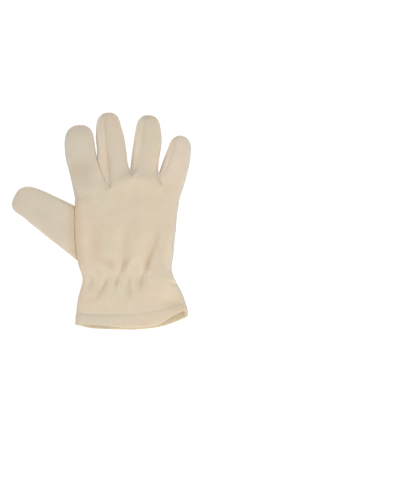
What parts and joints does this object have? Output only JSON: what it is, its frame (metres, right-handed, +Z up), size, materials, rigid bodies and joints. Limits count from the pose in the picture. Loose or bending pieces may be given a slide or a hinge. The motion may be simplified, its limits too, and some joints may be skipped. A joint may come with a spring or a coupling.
{
  "type": "fleece glove",
  "caption": "Right-hand fleece glove lying on its palm, sewn from panels, with gathered wrist and turned hem.",
  "frame": {"origin": "middle of the glove's outline, on the surface that it lies on", "axes": "+X across the hand towards the little finger, +Y from the cuff towards the fingertips, +Z up from the surface"},
  "size_m": [0.2037, 0.2491, 0.0161],
  "materials": {
    "fleece": "soft cream polyester fleece with a short pile"
  },
  "bodies": {
    "root": {"back_panel": "fleece", "palm_panel": "fleece", "fourchette_index_middle": "fleece", "fourchette_middle_ring": "fleece", "fourchette_ring_little": "fleece", "thumb": "fleece", "cuff_hem": "fleece"}
  },
  "joints": []
}
